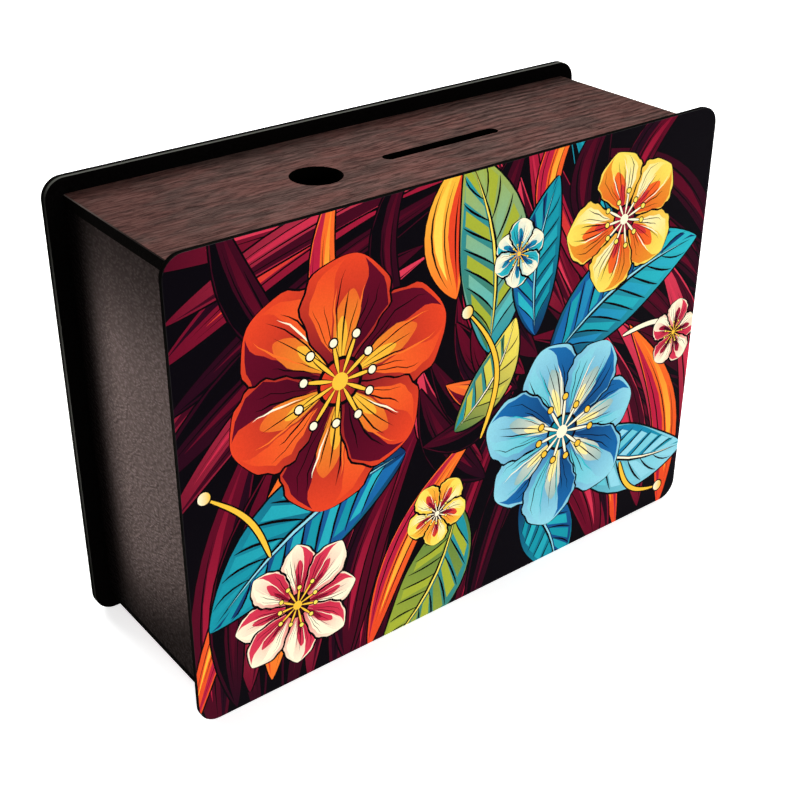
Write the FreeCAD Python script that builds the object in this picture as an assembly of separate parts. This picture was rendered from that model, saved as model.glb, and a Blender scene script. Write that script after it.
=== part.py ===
import FreeCAD, Part
import os
from math import acos, cos, degrees, sin

# Wooden money box: a four-board frame between an overhanging front and back panel.
# Frame: origin under the middle of the box, X to the right, front towards -Y, Z up, in mm.

# Overall size
width = 190.0
depth = 65.0
height = 140.0

# Front and back panels
film = 0.2
front_board = 1.8
back_board = 3.2
corner_radius = 6.0
panel_arris = 0.4

# Frame boards and how far the panels stand out past them
side_overhang = 5.2
top_overhang = 4.5
bottom_recess = 4.5
top_board = 3.6
side_board = 3.6
bottom_board = 2.0
top_arris = 0.25

# Round note hole and coin slot, side by side in the top
note_hole_diameter = 15.0
slot_length = 42.0
slot_width = 4.2
hole_slot_gap = 15.4
openings_x = -0.7
openings_from_front = 33.0

# Glue blocks in the four inner corners
corner_block = 10.0

# Access hole in the bottom and the cover that swivels over it
access_diameter = 32.0
access_x = 0.0
cover_board = 2.0
cover_lap = 4.0
cover_neck = 11.0
hub_radius = 5.5
pivot_inset = 7.0
lip_clearance = 0.6
notch_radius = 9.0
notch_depth = 2.0
cover_arris = 0.3

# Pivot screw, its washers and its block
screw_diameter = 3.0
screw_length = 12.0
screw_tip = 2.5
head_diameter = 5.6
head_height = 1.2
head_round = 0.5
recess_length = 2.8
recess_width = 0.55
recess_depth = 0.7
spring_washer_diameter = 7.0
spring_washer = 0.4
spacer_diameter = 10.0
spacer = 0.5
pivot_block_height = 10.0

# Fits
shank_clearance = 0.05
washer_clearance = 0.1
running_gap = 0.05

# Two points nearer than this are the same point
same_place = 1e-4

# Planes that the pieces share
front_face = -depth / 2
board_face = front_face + film
front_inside = board_face + front_board
back_face = depth / 2
back_inside = back_face - back_board
frame_half = width / 2 - side_overhang
frame_bottom = bottom_recess
frame_top = height - top_overhang
floor_inside = frame_bottom + bottom_board
roof_inside = frame_top - top_board
side_inside = frame_half - side_board


def at(x, y, z):
    return FreeCAD.Vector(x, y, z)


up = at(0, 0, 1)


def slab(x0, x1, y0, y1, z0, z1):
    return Part.makeBox(x1 - x0, y1 - y0, z1 - z0, at(x0, y0, z0))


def rod(radius, x, y, z0, z1):
    return Part.makeCylinder(radius, z1 - z0, at(x, y, z0), up)


def edges_on_plane(shape, axis, value):
    def lies_there(edge):
        low = getattr(edge.BoundBox, axis + "Min")
        high = getattr(edge.BoundBox, axis + "Max")
        return abs(low - value) < same_place and abs(high - value) < same_place
    return [edge for edge in shape.Edges if lies_there(edge)]


def rounded_panel(y0, y1):
    # Upright board of the full outline with rounded corners
    board = slab(-width / 2, width / 2, y0, y1, 0, height)
    corners = [edge for edge in board.Edges if edge.BoundBox.XLength + edge.BoundBox.ZLength < same_place]
    return board.makeFillet(corner_radius, corners)


# Panels
front_print = rounded_panel(front_face, board_face)
front_panel = rounded_panel(board_face, front_inside)
front_panel = front_panel.makeFillet(panel_arris, edges_on_plane(front_panel, "Y", front_inside))
back_panel = rounded_panel(back_inside, back_face)
back_rims = edges_on_plane(back_panel, "Y", back_inside) + edges_on_plane(back_panel, "Y", back_face)
back_panel = back_panel.makeFillet(panel_arris, back_rims)

# Top with its two openings, in one row along the top
openings_y = front_face + openings_from_front
row_length = note_hole_diameter + hole_slot_gap + slot_length
note_hole_x = openings_x - row_length / 2 + note_hole_diameter / 2
slot_x = openings_x + row_length / 2 - slot_length / 2
slot_reach = slot_length / 2 - slot_width / 2
top_panel = slab(-frame_half, frame_half, front_inside, back_inside, roof_inside, frame_top)
top_ends = [
    edge for edge in edges_on_plane(top_panel, "Z", frame_top)
    if edge.BoundBox.XLength < same_place
]
top_panel = top_panel.makeChamfer(top_arris, top_ends)
note_hole = rod(note_hole_diameter / 2, note_hole_x, openings_y, roof_inside, frame_top)
slot = slab(slot_x - slot_reach, slot_x + slot_reach, openings_y - slot_width / 2,
            openings_y + slot_width / 2, roof_inside, frame_top)
for end_x in (slot_x - slot_reach, slot_x + slot_reach):
    slot = slot.fuse(rod(slot_width / 2, end_x, openings_y, roof_inside, frame_top))
top_panel = top_panel.cut(note_hole).cut(slot.removeSplitter())

# Sides, between top and bottom
left_side_panel = slab(-frame_half, -side_inside, front_inside, back_inside, floor_inside, roof_inside)
right_side_panel = slab(side_inside, frame_half, front_inside, back_inside, floor_inside, roof_inside)

# Corner blocks run from the front panel to the back panel
corner_blocks = {}
for level, z0 in (("upper", roof_inside - corner_block), ("lower", floor_inside)):
    for side, x0 in (("left", -side_inside), ("right", side_inside - corner_block)):
        block = slab(x0, x0 + corner_block, front_inside, back_inside, z0, z0 + corner_block)
        corner_blocks[f"{level}_{side}_corner_block"] = block

# Hatch: closed, the cover's rim stands just off the front panel's lower lip.
# Open, it has swung round behind its pivot and stands off the same lip again.
cover_radius = access_diameter / 2 + cover_lap
arm = cover_radius + cover_neck
pivot_y = front_inside + pivot_inset
access_y = front_inside + lip_clearance + cover_radius
arm_lean = acos((access_y - pivot_y) / arm)
pivot_x = access_x - arm * sin(arm_lean)
hatch_swing = 2 * arm_lean

# Heights of the stack under the bottom, from the bottom board down to the screw head
spacer_low = frame_bottom - spacer
cover_top = spacer_low - running_gap
cover_low = cover_top - cover_board
washer_top = cover_low - running_gap
washer_low = washer_top - spring_washer
head_low = washer_low - head_height

shank_radius = screw_diameter / 2
shank_hole = shank_radius + shank_clearance
washer_hole = shank_radius + washer_clearance

bottom_panel = slab(-frame_half, frame_half, front_inside, back_inside, frame_bottom, floor_inside)
bottom_panel = bottom_panel.cut(rod(access_diameter / 2, access_x, access_y, frame_bottom, floor_inside))
bottom_panel = bottom_panel.cut(rod(shank_hole, pivot_x, pivot_y, frame_bottom, floor_inside))

block_top = floor_inside + pivot_block_height
hatch_pivot_block = slab(pivot_x - pivot_inset, pivot_x + pivot_inset, front_inside,
                         front_inside + 2 * pivot_inset, floor_inside, block_top)
hatch_pivot_block = hatch_pivot_block.cut(rod(shank_hole, pivot_x, pivot_y, floor_inside, block_top))


def teardrop(radius, x, y, small_radius, small_x, small_y, z0, z1):
    # Two discs joined by their outer tangents
    span = ((small_x - x) ** 2 + (small_y - y) ** 2) ** 0.5
    along = at((small_x - x) / span, (small_y - y) / span, 0)
    across = at(-along.y, along.x, 0)
    lean = (radius - small_radius) / span
    rise = (1 - lean ** 2) ** 0.5
    left = along * lean + across * rise
    right = along * lean - across * rise
    centre = at(x, y, z0)
    small_centre = at(small_x, small_y, z0)
    outline = Part.Wire([
        Part.Arc(centre + left * radius, centre - along * radius, centre + right * radius).toShape(),
        Part.LineSegment(centre + right * radius, small_centre + right * small_radius).toShape(),
        Part.Arc(small_centre + right * small_radius, small_centre + along * small_radius,
                 small_centre + left * small_radius).toShape(),
        Part.LineSegment(small_centre + left * small_radius, centre + left * radius).toShape(),
    ])
    return Part.Face(outline).extrude(up * (z1 - z0))


# Cover with a fingernail notch at the end away from the pivot
hatch_cover = teardrop(cover_radius, access_x, access_y, hub_radius, pivot_x, pivot_y, cover_low, cover_top)
hatch_cover = hatch_cover.makeFillet(cover_arris, edges_on_plane(hatch_cover, "Z", cover_low))
notch_reach = cover_radius + notch_radius - notch_depth
notch_x = access_x + notch_reach * sin(arm_lean)
notch_y = access_y + notch_reach * cos(arm_lean)
hatch_cover = hatch_cover.cut(rod(notch_radius, notch_x, notch_y, cover_low, cover_top))
hatch_cover = hatch_cover.cut(rod(shank_hole, pivot_x, pivot_y, cover_low, cover_top))


def ring(outer_diameter, z0, z1):
    disc = rod(outer_diameter / 2, pivot_x, pivot_y, z0, z1)
    return disc.cut(rod(washer_hole, pivot_x, pivot_y, z0, z1))


hatch_spacer_washer = ring(spacer_diameter, spacer_low, frame_bottom)
hatch_spring_washer = ring(spring_washer_diameter, washer_low, washer_top)

# Pan-head screw with a cross recess, head down
head = rod(head_diameter / 2, pivot_x, pivot_y, head_low, washer_low)
head = head.makeFillet(head_round, edges_on_plane(head, "Z", head_low))
screw_end = washer_low + screw_length
shank_end = screw_end - screw_tip
shank = rod(shank_radius, pivot_x, pivot_y, washer_low, shank_end)
tip = Part.makeCone(shank_radius, 0, screw_tip, at(pivot_x, pivot_y, shank_end), up)
hatch_pivot_screw = head.fuse(shank).fuse(tip).removeSplitter()
for long_x, long_y in ((recess_length, recess_width), (recess_width, recess_length)):
    hatch_pivot_screw = hatch_pivot_screw.cut(
        slab(pivot_x - long_x / 2, pivot_x + long_x / 2, pivot_y - long_y / 2, pivot_y + long_y / 2,
             head_low, head_low + recess_depth))

nodes = {
    "front_print": front_print,
    "front_panel": front_panel,
    "back_panel": back_panel,
    "top_panel": top_panel,
    "bottom_panel": bottom_panel,
    "left_side_panel": left_side_panel,
    "right_side_panel": right_side_panel,
    **corner_blocks,
    "hatch_cover": hatch_cover,
    "hatch_pivot_block": hatch_pivot_block,
    "hatch_pivot_screw": hatch_pivot_screw,
    "hatch_spring_washer": hatch_spring_washer,
    "hatch_spacer_washer": hatch_spacer_washer,
}
os.makedirs("parts", exist_ok=True)
for name, shape in nodes.items():
    shape.exportStep(f"parts/{name}.step")
    box = shape.optimalBoundingBox(False)
    print(f"{name}: {len(shape.Solids)} solid, valid {shape.isValid()}, volume {shape.Volume:.1f} mm3,"
          f" x {box.XMin:.2f}..{box.XMax:.2f} y {box.YMin:.2f}..{box.YMax:.2f} z {box.ZMin:.2f}..{box.ZMax:.2f}")
print(f"pivot {pivot_x:.3f}, {pivot_y:.3f}; access hole {access_x:.3f}, {access_y:.3f};"
      f" swing {degrees(hatch_swing):.2f} degrees; note hole x {note_hole_x:.2f}, slot x {slot_x:.2f},"
      f" y {openings_y:.2f}")
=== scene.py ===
from math import radians

import bmesh
import bpy
import numpy as np
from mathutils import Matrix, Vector
from mathutils.geometry import delaunay_2d_cdt


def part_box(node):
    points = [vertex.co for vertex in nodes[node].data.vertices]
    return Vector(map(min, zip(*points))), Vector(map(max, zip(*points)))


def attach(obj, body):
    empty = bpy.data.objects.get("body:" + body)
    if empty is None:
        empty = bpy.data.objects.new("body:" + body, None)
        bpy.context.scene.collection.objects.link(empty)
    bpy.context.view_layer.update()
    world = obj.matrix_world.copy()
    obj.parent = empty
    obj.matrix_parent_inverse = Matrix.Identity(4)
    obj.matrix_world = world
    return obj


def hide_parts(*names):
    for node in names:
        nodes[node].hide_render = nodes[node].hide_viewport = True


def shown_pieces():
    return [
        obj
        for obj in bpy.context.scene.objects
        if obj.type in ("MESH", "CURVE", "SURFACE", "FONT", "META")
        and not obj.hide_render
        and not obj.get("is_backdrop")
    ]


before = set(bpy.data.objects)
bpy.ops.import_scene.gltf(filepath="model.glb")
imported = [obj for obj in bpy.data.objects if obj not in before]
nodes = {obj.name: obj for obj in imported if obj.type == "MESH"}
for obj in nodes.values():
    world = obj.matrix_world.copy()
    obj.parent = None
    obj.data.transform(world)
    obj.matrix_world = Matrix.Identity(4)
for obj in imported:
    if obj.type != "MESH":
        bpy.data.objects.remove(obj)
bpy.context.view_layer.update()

scene = bpy.context.scene
scene.view_settings.view_transform = "Standard"
print("frame loaded:", len(nodes), "nodes")


# a colour as it looks on screen, 0 to 255, in the linear values that Blender mixes
def linear(rgb):
    c = np.asarray(rgb, float) / 255
    return np.where(c < 0.04045, c / 12.92, ((c + 0.055) / 1.055) ** 2.4)


def rgba(rgb):
    return (*linear(rgb), 1.0)


# Node helpers: each adds nodes to a material and gives back what they put out

def addNode(tree, kind, inputs=(), **settings):
    node = tree.nodes.new("ShaderNode" + kind)
    for key, value in settings.items():
        setattr(node, key, value)
    for key, value in dict(inputs).items():
        if isinstance(value, bpy.types.NodeSocket):
            tree.links.new(value, node.inputs[key])
        else:
            node.inputs[key].default_value = value
    return node


# the piece's own coordinates in mm, times a stretch along each axis
def inMm(tree, stretch=(1, 1, 1)):
    place = addNode(tree, "TexCoord").outputs["Object"]
    scale = [1000 * s for s in stretch]
    return addNode(tree, "Mapping", {"Vector": place, "Scale": scale}).outputs["Vector"]


def scaled(tree, vector, stretch):
    return addNode(tree, "VectorMath", {0: vector, 1: stretch}, operation="MULTIPLY").outputs[0]


# coordinates in which a noise of scale 1 has the size given in mm along x and along y
def drawnOut(tree, vector, size):
    return scaled(tree, vector, [1 / s for s in size] + [1])


def cloud(tree, vector, scale=1.0, detail=2.0, rough=0.5, distort=0.0):
    inputs = {"Vector": vector, "Scale": scale, "Detail": detail, "Roughness": rough,
              "Distortion": distort}
    return addNode(tree, "TexNoise", inputs).outputs["Fac"]


# moves a pattern's coordinates about by a slow noise, reach gives how far in mm
def wander(tree, vector, scale, reach):
    inputs = {"Vector": vector, "Scale": scale, "Detail": 2.0}
    drift = addNode(tree, "TexNoise", inputs).outputs["Color"]
    middle = (0.5, 0.5, 0.5)
    centred = addNode(tree, "VectorMath", {0: drift, 1: middle}, operation="SUBTRACT").outputs[0]
    pushed = scaled(tree, centred, [2 * r for r in reach])
    return addNode(tree, "VectorMath", {0: vector, 1: pushed}, operation="ADD").outputs[0]


def calc(tree, operation, a, b=0.0, c=0.0, clamp=False):
    return addNode(tree, "Math", {0: a, 1: b, 2: c}, operation=operation, use_clamp=clamp).outputs[0]


# a smooth step: start where the value is low, end where it is high
def span(tree, value, low, high, start=0.0, end=1.0):
    inputs = {"Value": value, "From Min": low, "From Max": high, "To Min": start, "To Max": end}
    return addNode(tree, "MapRange", inputs, interpolation_type="SMOOTHSTEP").outputs["Result"]


# a run of colour between two stops, each a place and a colour
def ramp(tree, value, stops):
    node = addNode(tree, "ValToRGB", {"Fac": value})
    for mark, (place, colour) in zip(node.color_ramp.elements, stops):
        mark.position = place
        mark.color = rgba(colour)
    return node.outputs["Color"]


def mix(tree, factor, a, b, kind="MIX"):
    return addNode(tree, "Mix", {0: factor, 6: a, 7: b}, data_type="RGBA", blend_type=kind).outputs[2]


def relief(tree, height, depthMm):
    return addNode(tree, "Bump", {"Height": height, "Distance": depthMm / 1000}).outputs["Normal"]


# a piece's own roughness, plus its swing where the noise is 1
def uneven(tree, noise, piece):
    return calc(tree, "MULTIPLY_ADD", noise, piece["swing"], piece["roughness"])


def split(tree, vector):
    return addNode(tree, "SeparateXYZ", {"Vector": vector}).outputs


def faceNormal(tree):
    return split(tree, addNode(tree, "NewGeometry").outputs["True Normal"])


def newFinish(name):
    finish = bpy.data.materials.new(name)
    finish.use_nodes = True
    finish.node_tree.nodes.clear()
    return finish, finish.node_tree


# the shader, with its sockets' names written with underscores
def coat(tree, **inputs):
    named = {key.replace("_", " "): value for key, value in inputs.items()}
    shader = addNode(tree, "BsdfPrincipled", named)
    addNode(tree, "OutputMaterial", {"Surface": shader.outputs[0]})


# Front print: blossoms, leaves and fronds drawn as outlines in mm, each filled with a run of colour

paint = {
    "night": (5, 3, 7), "ink": (5, 3, 6), "plum": (32, 6, 21), "wine": (62, 8, 27),
    "maroon": (96, 12, 35), "crimson": (178, 31, 60), "rose": (214, 58, 82), "flame": (222, 66, 36),
    "orange": (240, 110, 40), "amber": (226, 148, 44), "gold": (244, 190, 60), "lemon": (242, 218, 92),
    "cream": (250, 238, 206), "olive": (158, 168, 52), "moss": (70, 112, 62), "teal": (24, 142, 158),
    "sea": (46, 178, 190), "sky": (140, 206, 220), "blue": (28, 104, 166), "navy": (18, 46, 92),
}

darkReds = [
    ("plum", "wine", "night", "maroon"), ("plum", "maroon", "night", "wine"),
    ("wine", "maroon", "plum", "crimson"),
]
reds = [
    ("wine", "crimson", "maroon", "rose"), ("maroon", "rose", "wine", "crimson"),
    ("maroon", "crimson", "plum", "flame"),
]
warms = [
    ("flame", "orange", "crimson", "gold"), ("orange", "gold", "flame", "lemon"),
    ("crimson", "orange", "maroon", "amber"),
]
blues = [("navy", "blue", "night", "teal"), ("navy", "teal", "night", "sea")]
tealLeaf = ("navy", "teal", "blue", "sea", "teal", "sky")
mossLeaf = ("moss", "olive", "teal", "olive", "moss", "lemon")
seaLeaf = ("navy", "sea", "blue", "teal", "blue", "sky")
limeLeaf = ("teal", "olive", "moss", "olive", "sea", "lemon")
skyLeaf = ("teal", "sky", "blue", "sea", "sky", "cream")
budLeaf = ("moss", "lemon", "teal", "olive", "moss", "cream")

printDesign = {
    "seed": 11,
    "cornerRadius": 6.0,
    "line": 0.7, "frondLine": 0.55, "tendrilLine": 0.45,
    "tendrilWidth": 1.6, "budRadius": 1.9, "budLine": 0.5,
    # a blossom's heart, its sizes as shares of the blossom's radius
    "heart": {
        "disc": 0.17, "discInk": 0.2, "eye": 0.07, "bead": 0.032, "beadInk": 0.045,
        "stamens": 11, "stalk": 0.03, "stalkInk": 0.05, "stalkFrom": 0.06, "stalkTo": (0.27, 0.38),
    },
    # how many, line of the bases, line of the tips, width, bow, colours, scatter
    "fronds": [
        (10, ((-104, -10), (10, -16)), ((-98, 90), (64, 74)), 12, 8, darkReds, 7),
        (9, ((104, -6), (100, 96)), ((6, 52), (44, 150)), 12, -9, darkReds, 7),
        (7, ((-104, 58), (-98, 142)), ((-20, 112), (12, 152)), 11, 6, darkReds + reds, 6),
        (6, ((0, 40), (30, 80)), ((-30, 76), (0, 128)), 11, 5, reds + darkReds, 5),
        (5, ((30, 84), (70, 84)), ((4, 140), (40, 150)), 10, 5, reds + blues, 5),
        (8, ((-64, 96), (64, 116)), ((-90, 152), (100, 146)), 11, 7, warms + darkReds, 6),
        (7, ((-100, 4), (-34, -6)), ((-74, 72), (-2, 56)), 10, 7, reds + darkReds + warms, 6),
        (7, ((100, 6), (56, -10)), ((72, 96), (16, 44)), 10, -8, reds + warms[:1], 6),
        (5, ((14, 66), (20, 72)), ((-22, 58), (4, 104)), 9, 4, warms + darkReds, 4),
    ],
    # base, tip, width, bow, colours, veins
    "leaves": [
        ((-24, 62), (-90, 30), 31, -7, tealLeaf, 8),
        ((-4, 36), (-34, -8), 25, 6, mossLeaf, 7),
        ((30, 72), (92, 98), 28, 6, seaLeaf, 8),
        ((6, 84), (-4, 146), 25, -6, limeLeaf, 7),
        ((24, 84), (30, 132), 17, 4, tealLeaf, 6),
        ((44, 40), (97, 20), 25, -6, skyLeaf, 7),
        ((22, 26), (40, -10), 21, 4, tealLeaf, 6),
        ((-6, 62), (16, 92), 15, -4, budLeaf, 5),
    ],
    # base, tip, bow, curl, colour
    "tendrils": [
        ((4, 56), (2, 100), -7, 5, "gold"),
        ((62, 72), (90, 62), 5, 6, "cream"),
        ((-70, 46), (-92, 70), -5, -4, "gold"),
        ((66, 24), (84, 4), -4, 4, "gold"),
    ],
    # centre, radius, petals, turn, petal colours, throat colours, heart colours, petal width, bluntness
    "blossoms": [
        ((-46, 92), 37, 6, 0.3, ("maroon", "flame", "wine", "orange"), ("amber", "flame", "gold"),
         ("maroon", "flame", "gold", "cream"), 0.8, 0.6),
        ((38, 46), 33, 7, 0.1, ("blue", "sky", "navy", "sea"), ("cream", "teal", "lemon"),
         ("navy", "teal", "cream", "gold"), 0.68, 0.6),
        ((58, 112), 24, 5, 0.6, ("amber", "lemon", "flame", "cream"), ("flame", "orange", "crimson"),
         ("maroon", "crimson", "cream", "lemon"), 0.8, 0.75),
        ((-62, 26), 21, 8, 0.0, ("rose", "cream", "crimson", "cream"), ("crimson", "rose", "maroon"),
         ("plum", "wine", "gold", "lemon"), 0.55, 0.75),
        ((-12, 36), 12, 5, 0.9, ("gold", "lemon", "orange", "cream"), ("crimson", "flame", "maroon"),
         ("plum", "wine", "cream", "lemon"), 0.8, 0.6),
        ((86, 66), 11, 5, 0.2, ("rose", "cream", "crimson", "cream"), ("maroon", "crimson", "plum"),
         ("plum", "wine", "gold", "lemon"), 0.8, 0.6),
        ((16, 112), 10, 6, 0.4, ("sea", "cream", "teal", "cream"), ("blue", "teal", "navy"),
         ("navy", "blue", "gold", "lemon"), 0.8, 0.6),
    ],
}
rng = np.random.default_rng(printDesign["seed"])
inkLine = printDesign["line"]
drawn = []  # outline, first colour, last colour, and the two points between which the colour runs


def draw(outline, firstPaint, lastPaint=None, start=None, end=None):
    if start is None:
        start, end = outline[0], outline[len(outline) // 2]
    drawn.append((outline, paint[firstPaint], paint[lastPaint or firstPaint], start, end))


def blade(base, tip, width, bow=0.0, curl=0.0, belly=1.0, blunt=0.85, ripple=0.0, waves=4):
    return {"base": np.array(base, float), "tip": np.array(tip, float), "width": width, "bow": bow,
            "curl": curl, "belly": belly, "blunt": blunt, "ripple": ripple, "waves": waves}


# a point of a blade: t runs from base to tip and k from edge to edge; the spine bows by half a sine
# and curls by t cubed, and the half width is a power of a sine with a ripple on it
def bladePoints(b, t, k, grow=0.0):
    along = b["tip"] - b["base"]
    length = np.hypot(*along)
    along = along / length
    across = np.array([-along[1], along[0]])
    lift = b["bow"] * np.sin(np.pi * t) + b["curl"] * t ** 3
    slope = (b["bow"] * np.pi * np.cos(np.pi * t) + 3 * b["curl"] * t ** 2) / length
    size = np.sqrt(1 + slope ** 2)
    half = b["width"] / 2 * np.sin(np.pi * np.clip(t, 0, 1) ** b["belly"]) ** b["blunt"]
    half = half * (1 + b["ripple"] * np.sin(2 * np.pi * b["waves"] * t)) + grow
    x = t * length - k * half * slope / size
    y = lift + k * half / size
    return b["base"] + x[:, None] * along + y[:, None] * across


# from 0 to 1 with the steps closer together at both ends
def eased(steps):
    return (1 - np.cos(np.linspace(0, np.pi, steps))) / 2


# out along one edge of a blade and back along the other
def bladeOutline(b, steps=22, grow=0.0):
    t = eased(steps)
    right = bladePoints(b, t, np.full(steps, -1.0), grow)
    left = bladePoints(b, t[::-1], np.full(steps, 1.0), grow)
    return np.vstack([right, left[1:-1] if grow == 0 else left])


# a tapered stroke on a blade from (t0, k0) to (t1, k1), its half width a power of a sine
def stroke(b, t0, t1, k0, k1, wide, power=0.8, steps=12):
    s = eased(steps)
    t = t0 + (t1 - t0) * s
    k = k0 + (k1 - k0) * s
    half = wide * np.sin(np.pi * s) ** power
    lower = bladePoints(b, t, k - half)
    upper = bladePoints(b, t[::-1], (k + half)[::-1])
    return np.vstack([lower, upper[1:-1]])


# a circle: centre + radius (cos a, sin a)
def disc(centre, radius, firstPaint, lastPaint=None, steps=22):
    a = np.linspace(0, 2 * np.pi, steps, endpoint=False)
    draw(np.array(centre) + radius * np.c_[np.cos(a), np.sin(a)], firstPaint, lastPaint)


# a frond: ink line, body, one shaded and one lit stroke, and three fine ink strokes
def drawFrond(b, tones):
    base, tip = b["base"], b["tip"]
    draw(bladeOutline(b, grow=printDesign["frondLine"]), "ink")
    draw(bladeOutline(b), tones[0], tones[1], base, tip)
    side = rng.choice([-1.0, 1.0])
    draw(stroke(b, 0.02, 0.98, side * 0.55, side * 0.62, 0.4, 0.7), tones[2])
    draw(stroke(b, 0.15, 0.9, -side * 0.25, -side * 0.45, 0.22, 0.9), tones[3], tones[1], base, tip)
    for k in (-0.75, 0.0, 0.75):
        t0, t1 = rng.uniform(0.03, 0.25), rng.uniform(0.55, 0.9)
        draw(stroke(b, t0, t1, k * 0.7, k * rng.uniform(0.8, 1.05), rng.uniform(0.025, 0.06)), "ink")


# fronds side by side: bases along one line, tips along another, in a shuffled order
def drawFronds(count, bases, tips, width, bow, tones, scatter):
    bases, tips = np.array(bases, float), np.array(tips, float)
    for i in rng.permutation(count):
        s = (i + 0.5) / count
        base = bases[0] + (bases[1] - bases[0]) * s + rng.normal(0, scatter * 0.4, 2)
        tip = tips[0] + (tips[1] - tips[0]) * s + rng.normal(0, scatter, 2)
        b = blade(base, tip, width * rng.uniform(0.7, 1.3), bow * rng.uniform(0.6, 1.3),
                  rng.uniform(-6, 6), belly=0.85, blunt=0.9)
        drawFrond(b, tones[rng.integers(len(tones))])


# a leaf: one half shaded, then fields and ink veins in pairs from the base to the tip, then the midrib
def drawLeaf(base, tip, width, bow, tones, veins):
    b = blade(base, tip, width, bow, belly=0.9, blunt=0.8)
    draw(bladeOutline(b, grow=inkLine), "ink")
    draw(bladeOutline(b), tones[0], tones[1], b["base"], b["tip"])
    draw(stroke(b, 0.0, 1.0, 0.5, 0.5, 0.5, 0.5, 18), tones[2], tones[0], b["base"], b["tip"])
    firstVein, spread, reach = 0.08, 0.78, 0.17  # shares of the leaf's length
    step = spread / veins
    for i in range(veins):
        a = firstVein + i * step
        for side in (-1, 1):
            tone = tones[3] if (i + (side > 0)) % 2 else tones[4]
            t = np.clip([a + 0.02, a + reach, a + reach + step * 0.62, a + step * 0.8], 0, 0.97)
            k = side * np.array([0.1, 0.84, 0.8, 0.1])
            draw(bladePoints(b, t, k), tone, tones[1], b["base"], b["tip"])
            draw(stroke(b, a, min(a + reach, 0.98), 0.0, side * 0.92, 0.045, 0.6, 8), "ink")
    draw(stroke(b, 0.0, 0.97, 0.0, 0.0, 0.075, 0.5), "ink")
    draw(stroke(b, 0.05, 0.9, 0.02, 0.02, 0.03, 0.5), tones[5])


def drawTendril(base, tip, bow, curl, tone):
    b = blade(base, tip, printDesign["tendrilWidth"], bow, curl, belly=0.7, blunt=0.5)
    draw(bladeOutline(b, 26, grow=printDesign["tendrilLine"]), "ink")
    draw(bladeOutline(b, 26), tone)
    end = bladePoints(b, np.array([0.985]), np.array([0.0]))[0]
    bud = printDesign["budRadius"]
    disc(end, bud + printDesign["budLine"], "ink", steps=16)
    disc(end, bud, tone, "cream", steps=16)


# a petal: ink line, body, a shaded and a lit edge, the throat, ink veins and two light veins
def drawPetal(b, outer, inner):
    base, tip = b["base"], b["tip"]
    draw(bladeOutline(b, 30, grow=inkLine), "ink")
    draw(bladeOutline(b, 30), outer[0], outer[1], base, tip)
    side = rng.choice([-1.0, 1.0])
    draw(stroke(b, 0.05, 0.97, side * 0.6, side * 0.66, 0.34, 0.7, 16), outer[2], outer[0], base, tip)
    draw(stroke(b, 0.2, 0.96, -side * 0.5, -side * 0.62, 0.26, 0.8, 16), outer[3], outer[1], base, tip)
    draw(stroke(b, 0.02, 0.72, 0.0, side * 0.1, 0.34, 0.6, 16), inner[0], inner[1], base, tip)
    draw(stroke(b, 0.02, 0.5, 0.0, -side * 0.05, 0.2, 0.6, 14), inner[2], inner[0], base, tip)
    for k in np.linspace(-0.8, 0.8, 7):
        t1, wide = rng.uniform(0.5, 0.88), rng.uniform(0.012, 0.028)
        draw(stroke(b, 0.12, t1, k * 0.55, k * 0.92, wide, 0.8, 10), "ink")
    for k in (-0.3, 0.25):
        t1 = rng.uniform(0.7, 0.92)
        tone = "cream" if rng.random() < 0.4 else outer[3]
        draw(stroke(b, 0.3, t1, k * 0.8, k * 1.2, 0.022, 0.9, 10), tone)


# a blossom: every second petal, then the ones between, then the heart and its ring of stamens
def drawBlossom(centre, radius, petals, turn, outer, inner, heart, wide, blunt):
    centre = np.array(centre, float)
    for i in [*range(0, petals, 2), *range(1, petals, 2)]:
        a = turn + 2 * np.pi * i / petals + rng.uniform(-0.06, 0.06)
        reach = radius * rng.uniform(0.92, 1.06)
        d = np.array([np.cos(a), np.sin(a)])
        b = blade(centre + d * radius * 0.05, centre + d * reach, reach * wide,
                  rng.uniform(-0.05, 0.05) * radius, belly=1.55, blunt=blunt, ripple=0.045,
                  waves=rng.integers(4, 7))
        drawPetal(b, outer, inner)
    sizes = printDesign["heart"]
    disc(centre, radius * sizes["discInk"], "ink")
    disc(centre, radius * sizes["disc"], heart[0], heart[1])
    for i in range(sizes["stamens"]):
        a = turn + 2 * np.pi * (i + 0.5) / sizes["stamens"]
        d = np.array([np.cos(a), np.sin(a)])
        start = centre + d * radius * sizes["stalkFrom"]
        end = centre + d * (radius * rng.uniform(*sizes["stalkTo"]))
        for thick, tone in (("stalkInk", "ink"), ("stalk", heart[2])):
            draw(bladeOutline(blade(start, end, radius * sizes[thick], blunt=0.6), 10), tone)
        disc(end, radius * sizes["beadInk"], "ink", steps=14)
        disc(end, radius * sizes["bead"], heart[3], steps=14)
    disc(centre, radius * sizes["eye"], heart[2], steps=16)


# the film's own outline: four quarter circles of the panel's corner radius
def filmOutline(width, height, radius, steps=9):
    a = np.linspace(0, np.pi / 2, steps)
    turns = a + np.arange(4)[:, None] * np.pi / 2
    centres = np.array([(1, 1), (-1, 1), (-1, -1), (1, -1)]) * (width / 2 - radius, height / 2 - radius)
    arcs = centres[:, None] + radius * np.stack([np.cos(turns), np.sin(turns)], -1)
    return arcs.reshape(-1, 2) + (0, height / 2)


# twice the outline's area is the sum of x y' - x' y, and it is below 0 where the outline runs clockwise
def counterClockwise(p):
    ahead = np.roll(p, -1, 0)
    return p if np.sum(p[:, 0] * ahead[:, 1] - ahead[:, 0] * p[:, 1]) > 0 else p[::-1]


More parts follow.
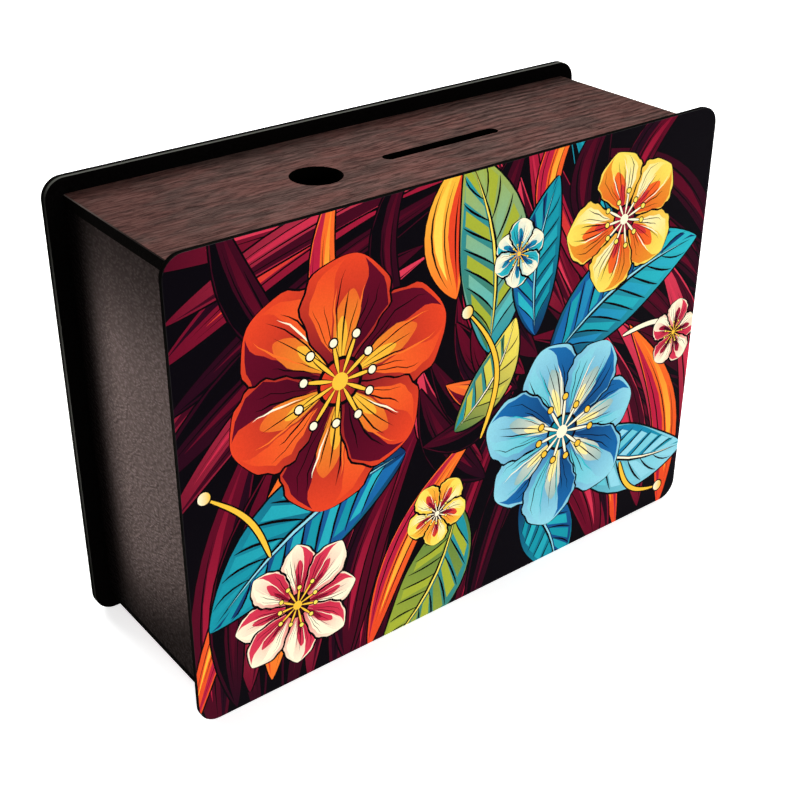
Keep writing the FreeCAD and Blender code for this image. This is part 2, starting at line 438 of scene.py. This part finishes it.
def buildFilm():
    low, high = (np.array(corner) * 1000 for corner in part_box("front_print"))
    for row in printDesign["fronds"]:
        drawFronds(*row)
    for row in printDesign["leaves"]:
        drawLeaf(*row)
    for row in printDesign["tendrils"]:
        drawTendril(*row)
    for row in printDesign["blossoms"]:
        drawBlossom(*row)
    edge = filmOutline(high[0] - low[0], high[2] - low[2], printDesign["cornerRadius"])
    outlines = [edge] + [counterClockwise(row[0]) for row in drawn]
    ends = np.cumsum([len(p) for p in outlines])
    rings = [list(range(end - len(p), end)) for p, end in zip(outlines, ends)]
    spots = np.vstack(outlines).tolist()
    insideOnly, mergeDistance = 1, 1e-4
    flat, _, tris, _, _, owners = delaunay_2d_cdt(spots, [], rings, insideOnly, mergeDistance, True)

    # the shape drawn last owns each triangle, and what lies outside the film goes
    tops = np.array([max(own) if own and min(own) == 0 else -1 for own in owners])
    points = np.array(flat)
    at = np.c_[points[:, 0], np.full(len(points), low[1]), points[:, 1]] / 1000
    mesh = bpy.data.meshes.new("printed_film")
    mesh.from_pydata(at.tolist(), [], [tri for tri, top in zip(tris, tops) if top >= 0])
    mesh.polygons.foreach_set("material_index", tops[tops >= 0].astype(np.int32))

    # lines hidden under later shapes are dissolved, then the film gets its thickness and back
    bm = bmesh.new()
    bm.from_mesh(mesh)
    bmesh.ops.delete(bm, geom=[v for v in bm.verts if not v.link_faces], context="VERTS")
    bmesh.ops.dissolve_limit(bm, angle_limit=radians(0.5), use_dissolve_boundaries=False,
                             verts=bm.verts, edges=bm.edges, delimit={"MATERIAL"})
    bmesh.ops.triangulate(bm, faces=bm.faces)
    rim = [e for e in bm.edges if e.is_boundary]
    grown = bmesh.ops.extrude_edge_only(bm, edges=rim)["geom"]
    bmesh.ops.translate(bm, vec=(0, (high[1] - low[1]) / 1000, 0),
                        verts=[g for g in grown if isinstance(g, bmesh.types.BMVert)])
    bmesh.ops.holes_fill(bm, edges=[e for e in bm.edges if e.is_boundary], sides=0)
    for face in bm.faces:
        if face.normal.y > -0.9:  # rim and back take the ground colour
            face.material_index = 0
    bmesh.ops.triangulate(bm, faces=[f for f in bm.faces if len(f.verts) > 4])
    bmesh.ops.recalc_face_normals(bm, faces=bm.faces)
    bm.to_mesh(mesh)
    bm.free()

    # colour at each corner: its place between the two ends of its shape's run of colour
    count = len(mesh.loops)
    corner = np.zeros(count, np.int32)
    mesh.loops.foreach_get("vertex_index", corner)
    spot = np.zeros(len(mesh.vertices) * 3)
    mesh.vertices.foreach_get("co", spot)
    spot = spot.reshape(-1, 3)[corner][:, [0, 2]] * 1000
    shape = np.zeros(len(mesh.polygons), np.int32)
    mesh.polygons.foreach_get("material_index", shape)
    sides = np.zeros(len(mesh.polygons), np.int32)
    mesh.polygons.foreach_get("loop_total", sides)
    shape = np.repeat(shape, sides)
    ground = linear(paint["night"])
    first = np.array([ground] + [linear(row[1]) for row in drawn])[shape]
    last = np.array([ground] + [linear(row[2]) for row in drawn])[shape]
    start = np.array([(0, 0)] + [row[3] for row in drawn])[shape]
    run = np.array([(0, 1)] + [np.subtract(row[4], row[3]) for row in drawn])[shape]
    share = np.clip(np.sum((spot - start) * run, 1) / np.maximum(np.sum(run ** 2, 1), 1e-9), 0, 1)
    inks = np.c_[first + (last - first) * share[:, None], np.ones(count)]
    mesh.color_attributes.new("inks", "FLOAT_COLOR", "CORNER").data.foreach_set("color", inks.ravel())
    mesh.polygons.foreach_set("material_index", np.zeros(len(mesh.polygons), np.int32))
    mesh.update()
    print("print:", len(drawn), "shapes,", len(mesh.polygons), "faces")
    return mesh


filmFinish = {"roughness": 0.38, "swing": 0.16, "gloss": 0.01, "peel": 0.012, "mottle": 0.05}


def makeFilmFinish():
    finish, tree = newFinish("printedFilm")
    inks = addNode(tree, "VertexColor", layer_name="inks").outputs["Color"]
    place = inMm(tree)
    dust = cloud(tree, place, 2.2, 3.0, 0.6)
    patch = cloud(tree, place, 0.05, 2.0)
    low, high = 1 - filmFinish["mottle"], 1 + filmFinish["mottle"]
    worn = mix(tree, 1.0, inks, span(tree, dust, 0.25, 0.75, low, high), "MULTIPLY")
    coat(tree, Base_Color=worn, Roughness=uneven(tree, patch, filmFinish),
         Specular_IOR_Level=filmFinish["gloss"],
         Normal=relief(tree, cloud(tree, place, 0.9, 2.0), filmFinish["peel"]))
    return finish


film = bpy.data.objects.new("printed_film", buildFilm())
scene.collection.objects.link(film)
film.data.materials.append(makeFilmFinish())
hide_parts("front_print")
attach(film, "box")


# Walnut board: veneer with painted shade and light, painted arris highlight, scorched cut edges, raw
# brown inside

walnut = {
    "grey": (98, 77, 72), "red": (119, 81, 75), "dark": (58, 42, 39), "light": (138, 102, 95),
    "pore": (46, 33, 30), "arris": (114, 103, 97), "scorch": (5, 4, 3), "raw": (60, 42, 30),
    "shortStreak": (7.0, 0.8), "linePitch": 2.9, "lineDrift": 11.0,
    "porePitch": (3.4, 0.34), "poreInk": 0.7, "poreDepth": 0.08,
    "figure": (0.6, 0.9),  # how strong the streaks are at the left end and at the right end
    "endShade": 0.76, "middleShade": 0.95, "frontShade": 1.22,
    "roughness": 0.46, "swing": 0.22, "gloss": 0.001,
    # from where to where each change runs, in mm
    "figureRun": (-45.0, 45.0), "endRun": (92.0, 40.0), "frontRun": (4.0, -28.0),
    "arrisRun": (-12.0, 22.0),
}
boxMiddle = 70.0  # half the box's height


# 1 on a face that looks out of the box, 0 on a cut edge, -1 on a face that looks inside
def outwardness(tree, axis, middle):
    place = split(tree, inMm(tree))[axis]
    side = calc(tree, "SIGN", calc(tree, "SUBTRACT", place, middle))
    return calc(tree, "MULTIPLY", faceNormal(tree)[axis], side)


# the unfinished inner face of a board, two browns by a fibrous noise
def rawBoard(tree, brown, dark):
    fibre = cloud(tree, inMm(tree, (0.5, 0.5, 0.5)), 1.0, 5.0, 0.7)
    return mix(tree, fibre, rgba(brown), rgba(dark))


# broken lines along the grain, over the short streaks: a sin(2 pi y / pitch + drift),
# with a and the drift from slow noise
def grainLines(tree, place, short):
    drift = cloud(tree, scaled(tree, place, (0.05, 0.2, 1)), 1.0, 2.0)
    turn = calc(tree, "MULTIPLY", split(tree, place)[1], 2 * np.pi / walnut["linePitch"])
    wave = calc(tree, "SINE", calc(tree, "MULTIPLY_ADD", drift, walnut["lineDrift"], turn))
    broken = cloud(tree, scaled(tree, place, (0.11, 0.6, 1)), 1.0, 2.0)
    lines = calc(tree, "MULTIPLY", wave, span(tree, broken, 0.36, 0.62, 0.02, 0.13))
    return calc(tree, "ADD", lines, calc(tree, "MULTIPLY_ADD", short, 0.4, 0.3))


def makeWalnut():
    finish, tree = newFinish("walnutBoard")
    spot = split(tree, inMm(tree))
    place = wander(tree, wander(tree, inMm(tree), 0.03, (0, 2.0, 0)), 0.1, (0, 0.6, 0))
    patch = cloud(tree, scaled(tree, place, (0.05, 0.12, 1)), 1.0, 3.0, 0.6)
    veneer = mix(tree, span(tree, patch, 0.38, 0.62), rgba(walnut["grey"]), rgba(walnut["red"]))
    short = cloud(tree, drawnOut(tree, place, walnut["shortStreak"]), 1.0, 3.0, 0.55)
    rightward = span(tree, spot[0], *walnut["figureRun"])
    streak = mix(tree, rightward, short, grainLines(tree, place, short))
    figure = span(tree, rightward, 0.0, 1.0, *walnut["figure"])
    hollow = calc(tree, "MULTIPLY", span(tree, streak, 0.53, 0.34), figure)
    crest = calc(tree, "MULTIPLY", span(tree, streak, 0.5, 0.68), figure)
    veneer = mix(tree, hollow, veneer, rgba(walnut["dark"]))
    veneer = mix(tree, crest, veneer, rgba(walnut["light"]))
    pores = cloud(tree, drawnOut(tree, place, walnut["porePitch"]), 1.0, 2.0, 0.6)
    pit = span(tree, pores, 0.52, 0.68)
    veneer = mix(tree, calc(tree, "MULTIPLY", pit, walnut["poreInk"]), veneer, rgba(walnut["pore"]))

    # painted shade darker towards both ends, and painted light a little lighter towards the front
    paintedEndShade = span(tree, calc(tree, "ABSOLUTE", spot[0]), *walnut["endRun"], walnut["endShade"], 1.0)
    paintedFrontLight = span(tree, spot[1], *walnut["frontRun"], walnut["middleShade"], walnut["frontShade"])
    veneer = mix(tree, 1.0, veneer, calc(tree, "MULTIPLY", paintedEndShade, paintedFrontLight), "MULTIPLY")

    # raw board inside, scorched edges, a painted highlight on the arris strongest towards the rear,
    # veneer outside
    out = outwardness(tree, 2, boxMiddle)
    raw = rawBoard(tree, walnut["raw"], walnut["pore"])
    colour = mix(tree, span(tree, out, -0.6, -0.2, 1.0, 0.0), rgba(walnut["scorch"]), raw)
    arrisHighlightRearward = span(tree, spot[1], *walnut["arrisRun"], 0.15, 1.0)
    pale = calc(tree, "MULTIPLY", span(tree, out, 0.4, 0.6), arrisHighlightRearward)
    colour = mix(tree, pale, colour, rgba(walnut["arris"]))
    face = span(tree, out, 0.8, 0.92)
    colour = mix(tree, face, colour, veneer)
    height = calc(tree, "MULTIPLY_ADD", pit, -1.0, calc(tree, "MULTIPLY", streak, 0.8))
    coat(tree, Base_Color=colour, Roughness=uneven(tree, streak, walnut),
         Specular_IOR_Level=walnut["gloss"], Normal=relief(tree, height, walnut["poreDepth"]))
    return finish


# Side boards: fine pebbled face outside with painted shade towards its edges, raw brown board inside

sideBoard = {
    "light": (107, 93, 90), "deep": (84, 72, 69), "smoke": (26, 21, 19), "raw": (60, 42, 30),
    "pebble": 0.9, "pebbleStretch": (1, 0.8, 1.7), "pebbleLean": 28, "pebbleDepth": 0.46,
    "pebbleSwell": (0.9, 1.5),  # how strong the pebbles are above and below
    "topShade": 0.5, "bottomShade": 0.2, "rearShade": 0.03,
    "roughness": 0.45, "swing": 0.3, "gloss": 0.002,
    # from where to where each change runs, in mm
    "swellRun": (120.0, 50.0), "topRun": (136.0, 96.0), "bottomRun": (6.0, 38.0), "rearRun": (25.0, 6.0),
}


def makeSideBoard():
    finish, tree = newFinish("pebbledBoard")
    place = inMm(tree)
    grain = wander(tree, place, 0.2, (0, 1.2, 1.2))
    turn = (radians(sideBoard["pebbleLean"]), 0, 0)
    inputs = {"Vector": grain, "Rotation": turn, "Scale": sideBoard["pebbleStretch"]}
    lean = addNode(tree, "Mapping", inputs).outputs[0]
    inputs = {"Vector": lean, "Scale": sideBoard["pebble"], "Smoothness": 1.0}
    pebble = addNode(tree, "TexVoronoi", inputs, feature="SMOOTH_F1").outputs["Distance"]
    fine = cloud(tree, place, 3.0, 3.0, 0.6)
    height = calc(tree, "MULTIPLY_ADD", fine, 0.15, calc(tree, "SUBTRACT", 1.0, pebble))
    patch = cloud(tree, place, 0.06, 2.0)
    tone = calc(tree, "MULTIPLY_ADD", patch, 0.3, calc(tree, "MULTIPLY_ADD", height, 0.75, -0.35))
    skin = ramp(tree, tone, [(0.25, sideBoard["deep"]), (0.62, sideBoard["light"])])

    # painted shade: darker under the top, a painted shadow of the back panel's lip behind, and a painted
    # shadow wedge at the bottom
    spot = split(tree, place)
    above = span(tree, spot[2], *sideBoard["topRun"], sideBoard["topShade"], 1.0)
    slant = calc(tree, "MULTIPLY_ADD", spot[1], 0.5, spot[2])
    below = span(tree, slant, *sideBoard["bottomRun"], sideBoard["bottomShade"], 1.0)
    behind = span(tree, spot[1], *sideBoard["rearRun"], sideBoard["rearShade"], 1.0)
    shade = calc(tree, "MULTIPLY", calc(tree, "MULTIPLY", above, below), behind)
    skin = mix(tree, 1.0, skin, shade, "MULTIPLY")
    swell = span(tree, spot[2], *sideBoard["swellRun"], *sideBoard["pebbleSwell"])
    raw = rawBoard(tree, sideBoard["raw"], sideBoard["smoke"])
    face = span(tree, outwardness(tree, 0, 0.0), 0.6, 0.9)
    bumps = relief(tree, calc(tree, "MULTIPLY", height, swell), sideBoard["pebbleDepth"])
    coat(tree, Base_Color=mix(tree, face, raw, skin), Roughness=uneven(tree, pebble, sideBoard),
         Specular_IOR_Level=sideBoard["gloss"], Normal=bumps)
    return finish


# Front and back panels: black with a fine fibre, a painted grey highlight line on the back panel's rim,
# and the pressed mesh on its rear face

hardboard = {
    "black": (4, 3, 3), "fibre": (11, 10, 9), "rim": (20, 19, 17), "rimDark": (11, 10, 9),
    # the dust colour is the painted highlight on the back panel's rim
    "dust": (100, 101, 95), "highlightOnSides": 0.22,
    "reverse": (74, 63, 57), "reverseDark": (30, 25, 23), "mesh": 1.4, "meshRise": 0.8,
    "fibreDepth": 0.12, "roughness": 0.5, "swing": 0.25, "gloss": 0.0,
    # how far back, in mm, the painted highlight line starts and ends and the rear face begins
    "lineStart": (29.2, 29.5), "lineEnd": (30.9, 30.2), "rearFace": (31.0, 32.0),
}


# ridges across one axis, the mark of the wire that the board was pressed on: 0.5 + 0.5 sin(2 pi x / mesh)
def pressedWire(tree, axis):
    turn = calc(tree, "MULTIPLY", split(tree, inMm(tree))[axis], 2 * np.pi / hardboard["mesh"])
    return calc(tree, "MULTIPLY_ADD", calc(tree, "SINE", turn), 0.5, 0.5)


def makeHardboard():
    finish, tree = newFinish("blackHardboard")
    place = inMm(tree)
    fibre = cloud(tree, wander(tree, place, 0.5, (1.5, 0, 1.5)), 1.6, 5.0, 0.7, 0.6)
    black = mix(tree, span(tree, fibre, 0.35, 0.8), rgba(hardboard["black"]), rgba(hardboard["fibre"]))
    layers = cloud(tree, scaled(tree, place, (0.12, 2.2, 0.12)), 1.0, 4.0, 0.65)
    rim = ramp(tree, layers, [(0.3, hardboard["rimDark"]), (0.6, hardboard["rim"])])
    normal = faceNormal(tree)
    spot = split(tree, place)

    # the back panel's rear face, pressed on a wire mesh
    weave = calc(tree, "MULTIPLY", pressedWire(tree, 0), pressedWire(tree, 2))
    fuzz = calc(tree, "MULTIPLY_ADD", fibre, 1.6, -0.6)
    reverse = mix(tree, calc(tree, "MULTIPLY_ADD", weave, 0.5, fuzz, True),
                  rgba(hardboard["reverseDark"]), rgba(hardboard["reverse"]))
    farBack = span(tree, spot[1], *hardboard["rearFace"])
    rear = calc(tree, "MULTIPLY", span(tree, normal[1], 0.6, 0.95), farBack)
    black = mix(tree, rear, black, reverse)

    # a painted highlight line on its rim, strongest where the rim looks up towards the light
    lineEnd = span(tree, spot[1], *hardboard["lineEnd"])
    worn = calc(tree, "MULTIPLY", span(tree, spot[1], *hardboard["lineStart"]), lineEnd)
    worn = calc(tree, "MULTIPLY", worn, span(tree, layers, 0.2, 0.6, 0.75, 1.0))
    upward = span(tree, normal[2], 0.2, 0.9, hardboard["highlightOnSides"], 1.0)
    paintedRimHighlight = calc(tree, "MULTIPLY", upward, worn)
    rim = mix(tree, paintedRimHighlight, rim, rgba(hardboard["dust"]))
    flat = calc(tree, "ABSOLUTE", normal[1])
    colour = mix(tree, span(tree, flat, 0.2, 0.5), rim, black)
    ridges = calc(tree, "MULTIPLY", weave, rear)
    height = calc(tree, "MULTIPLY_ADD", ridges, hardboard["meshRise"], fibre)
    coat(tree, Base_Color=colour, Roughness=uneven(tree, fibre, hardboard),
         Specular_IOR_Level=hardboard["gloss"], Normal=relief(tree, height, hardboard["fibreDepth"]))
    return finish


# Pine blocks: growth rings across, sawn along the block

pine = {
    "early": (214, 176, 122), "late": (166, 116, 66), "ring": 0.55, "sawMarks": 0.3, "sawDepth": 0.08,
    "roughness": 0.5, "swing": 0.3, "gloss": 0.2,
}


def makePine():
    finish, tree = newFinish("pine")
    place = wander(tree, inMm(tree, (1, 0.12, 1)), 0.12, (1.2, 0, 1.2))
    inputs = {"Vector": place, "Scale": pine["ring"] / 2, "Distortion": 1.6, "Detail": 3.0}
    rings = addNode(tree, "TexWave", inputs, wave_type="RINGS", rings_direction="Y",
                    wave_profile="SAW").outputs["Fac"]
    saw = cloud(tree, inMm(tree, (2.4, 0.2, 2.4)), 1.0, 4.0, 0.65)
    wood = mix(tree, rings, rgba(pine["early"]), rgba(pine["late"]))
    wood = mix(tree, calc(tree, "MULTIPLY", saw, pine["sawMarks"]), wood, rgba(pine["late"]))
    coat(tree, Base_Color=wood, Roughness=uneven(tree, saw, pine),
         Specular_IOR_Level=pine["gloss"], Normal=relief(tree, saw, pine["sawDepth"]))
    return finish


# Hatch cover: brown hardboard with a scorched rim

hatchBoard = {
    "brown": (112, 77, 55), "fleck": (70, 46, 33), "scorch": (12, 8, 6), "fibreDepth": 0.05,
    "roughness": 0.42, "swing": 0.3, "gloss": 0.25,
}


def makeHatchBoard():
    finish, tree = newFinish("hatchBoard")
    place = inMm(tree)
    fibre = cloud(tree, wander(tree, place, 0.4, (2, 2, 0)), 1.1, 6.0, 0.72, 0.8)
    brown = mix(tree, span(tree, fibre, 0.35, 0.7), rgba(hatchBoard["fleck"]), rgba(hatchBoard["brown"]))
    flat = calc(tree, "ABSOLUTE", faceNormal(tree)[2])
    colour = mix(tree, span(tree, flat, 0.35, 0.97), rgba(hatchBoard["scorch"]), brown)
    coat(tree, Base_Color=colour, Roughness=uneven(tree, fibre, hatchBoard),
         Specular_IOR_Level=hatchBoard["gloss"], Normal=relief(tree, fibre, hatchBoard["fibreDepth"]))
    return finish


# Screw and spring washer: zinc plate with fine turning marks and a faint yellow cast

zinc = {
    "bright": (196, 198, 196), "cast": (172, 168, 150), "markDepth": 0.015,
    "roughness": 0.2, "swing": 0.25,
}


def makeZinc():
    finish, tree = newFinish("zincPlate")
    place = inMm(tree)
    patch = cloud(tree, place, 0.7, 4.0, 0.6)
    marks = cloud(tree, scaled(tree, place, (1.2, 1.2, 14.0)), 1.0, 3.0, 0.6)
    colour = mix(tree, span(tree, patch, 0.35, 0.7), rgba(zinc["bright"]), rgba(zinc["cast"]))
    coat(tree, Base_Color=colour, Metallic=1.0, Roughness=uneven(tree, patch, zinc),
         Normal=relief(tree, marks, zinc["markDepth"]))
    return finish


# Spacer washer: red-brown pressed fibre

fibreWasher = {
    "red": (116, 62, 44), "dark": (78, 40, 30), "pulpDepth": 0.04,
    "roughness": 0.5, "swing": 0.3, "gloss": 0.2,
}


def makeFibreWasher():
    finish, tree = newFinish("fibreWasher")
    pulp = cloud(tree, inMm(tree, (1, 1, 3)), 2.2, 5.0, 0.7, 0.5)
    colour = mix(tree, pulp, rgba(fibreWasher["dark"]), rgba(fibreWasher["red"]))
    coat(tree, Base_Color=colour, Roughness=uneven(tree, pulp, fibreWasher),
         Specular_IOR_Level=fibreWasher["gloss"], Normal=relief(tree, pulp, fibreWasher["pulpDepth"]))
    return finish


finishes = {
    "walnut": makeWalnut(), "side": makeSideBoard(), "hardboard": makeHardboard(), "pine": makePine(),
    "hatch": makeHatchBoard(), "zinc": makeZinc(), "fibre": makeFibreWasher(),
}
wearing = {
    "front_panel": "hardboard", "back_panel": "hardboard",
    "top_panel": "walnut", "bottom_panel": "walnut",
    "left_side_panel": "side", "right_side_panel": "side",
    "upper_left_corner_block": "pine", "upper_right_corner_block": "pine",
    "lower_left_corner_block": "pine", "lower_right_corner_block": "pine", "hatch_pivot_block": "pine",
    "hatch_cover": "hatch", "hatch_pivot_screw": "zinc", "hatch_spring_washer": "zinc",
    "hatch_spacer_washer": "fibre",
}
for name, kind in wearing.items():
    for place in nodes[name].material_slots:
        place.material = finishes[kind]
print("finishes:", len(finishes), "on", len(wearing), "nodes")


# Stage: pale floor, soft lamps and the camera

studio = {
    "floorSize": 40.0, "floorLevel": -1e-4, "floorPale": 0.95, "floorBounce": 0.08,
    "floorGlow": 0.7, "whiteFrom": 0.35, "whiteAt": 1.3,  # metres from the box
    "ambient": 0.2,
    # name, kind, place, what it looks at, size in metres, watts, and a beam's angle
    "lamps": [
        ("frontLamp", "AREA", (0.0, -1.25, 0.22), (0, 0, 0.07), 0.6, 15.0, 0),
        ("backLamp", "AREA", (0.05, 1.0, 0.62), (0, 0, 0.07), 0.9, 19.0, 0),
        ("rightLamp", "AREA", (0.95, 0.3, 0.4), (0, 0, 0.07), 0.6, 5.0, 0),
        ("sideBeamHigh", "SPOT", (-0.280, 0.104, 0.099), (-0.0898, -0.008, 0.069), 0.04, 0.5, 36),
        ("sideBeamMid", "SPOT", (-0.225, 0.167, 0.099), (-0.0898, -0.008, 0.069), 0.04, 1.3, 36),
        ("sideBeamLow", "SPOT", (-0.179, 0.195, 0.099), (-0.0898, -0.008, 0.069), 0.04, 2.1, 36),
        ("underLamp", "AREA", (-0.1, -0.3, -0.8), (0, 0, 0), 0.6, 5.5, 0),
    ],
}


# 1 for the rays that show the stage itself: seen straight, mirrored or through glass
def seenRays(tree):
    path = addNode(tree, "LightPath").outputs
    shown = calc(tree, "MAXIMUM", path["Is Camera Ray"], path["Is Glossy Ray"])
    return calc(tree, "MAXIMUM", shown, path["Is Transmission Ray"])


def makeFloor():
    half = studio["floorSize"] / 2
    u, v = np.meshgrid([-half, half], [-half, half])
    spots = np.c_[u.ravel(), v.ravel(), np.full(4, studio["floorLevel"])]
    mesh = bpy.data.meshes.new("floor")
    mesh.from_pydata(spots.tolist(), [], [(0, 1, 3, 2)])
    floor = bpy.data.objects.new("floor", mesh)
    scene.collection.objects.link(floor)
    finish, tree = newFinish("paleFloor")
    pale, bounce = studio["floorPale"], studio["floorBounce"]
    seen = seenRays(tree)
    grey = calc(tree, "MULTIPLY_ADD", seen, pale - bounce, bounce)
    matt = addNode(tree, "BsdfDiffuse", {"Color": grey}).outputs[0]
    spot = addNode(tree, "TexCoord").outputs["Object"]
    away = addNode(tree, "VectorMath", {0: spot}, operation="LENGTH").outputs["Value"]
    white = span(tree, away, studio["whiteFrom"], studio["whiteAt"], studio["floorGlow"], 1.0)
    glow = addNode(tree, "Emission", {"Strength": calc(tree, "MULTIPLY", seen, white)}).outputs[0]
    matt = addNode(tree, "AddShader", {0: matt, 1: glow}).outputs[0]
    clear = addNode(tree, "BsdfTransparent").outputs[0]
    under = addNode(tree, "NewGeometry").outputs["Backfacing"]
    shown = addNode(tree, "MixShader", {0: under, 1: matt, 2: clear}).outputs[0]
    addNode(tree, "OutputMaterial", {"Surface": shown})
    mesh.materials.append(finish)
    floor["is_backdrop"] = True


def makeWorld():
    world = bpy.data.worlds.new("studio")
    world.use_nodes = True
    tree = world.node_tree
    tree.nodes.clear()
    ambient = studio["ambient"]
    strength = calc(tree, "MULTIPLY_ADD", seenRays(tree), 1 - ambient, ambient)
    sky = addNode(tree, "Background", {"Color": (1, 1, 1, 1), "Strength": strength}).outputs[0]
    addNode(tree, "OutputWorld", {"Surface": sky})
    scene.world = world


def addLamp(name, kind, place, target, size, watts, beam):
    data = bpy.data.lights.new(name, kind)
    data.energy = watts
    if kind == "AREA":
        data.shape = "DISK"
        data.size = size
    else:
        data.shadow_soft_size = size / 2
        data.spot_size = radians(beam)
        data.spot_blend = 1.0
    lamp = bpy.data.objects.new(name, data)
    lamp.location = place
    lamp.rotation_euler = (Vector(target) - Vector(place)).to_track_quat("-Z", "Y").to_euler()
    lamp.visible_camera = False
    scene.collection.objects.link(lamp)
    return lamp


makeFloor()
makeWorld()
lamps = {row[0]: addLamp(*row) for row in studio["lamps"]}

# the lamp below the floor lights the underside and passes through the floor
litFromBelow = bpy.data.collections.new("litFromBelow")
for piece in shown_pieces():
    litFromBelow.objects.link(piece)
lamps["underLamp"].light_linking.receiver_collection = litFromBelow
lamps["underLamp"].light_linking.blocker_collection = litFromBelow

view = {
    "place": (-0.22399, -0.28616, 0.26266), "azimuth": -37.475, "elevation": 28.384,
    "lens": 60.66, "sensor": 36.0, "shift": (0.0125, -0.0375),
}
cameraData = bpy.data.cameras.new("camera")
cameraData.lens = view["lens"]
cameraData.sensor_width = view["sensor"]
cameraData.shift_x, cameraData.shift_y = view["shift"]
camera = bpy.data.objects.new("camera", cameraData)
camera.location = view["place"]
camera.rotation_euler = (radians(90 - view["elevation"]), 0, radians(view["azimuth"]))
scene.collection.objects.link(camera)
scene.camera = camera
print("stage: floor, world,", len(studio["lamps"]), "lamps, camera")
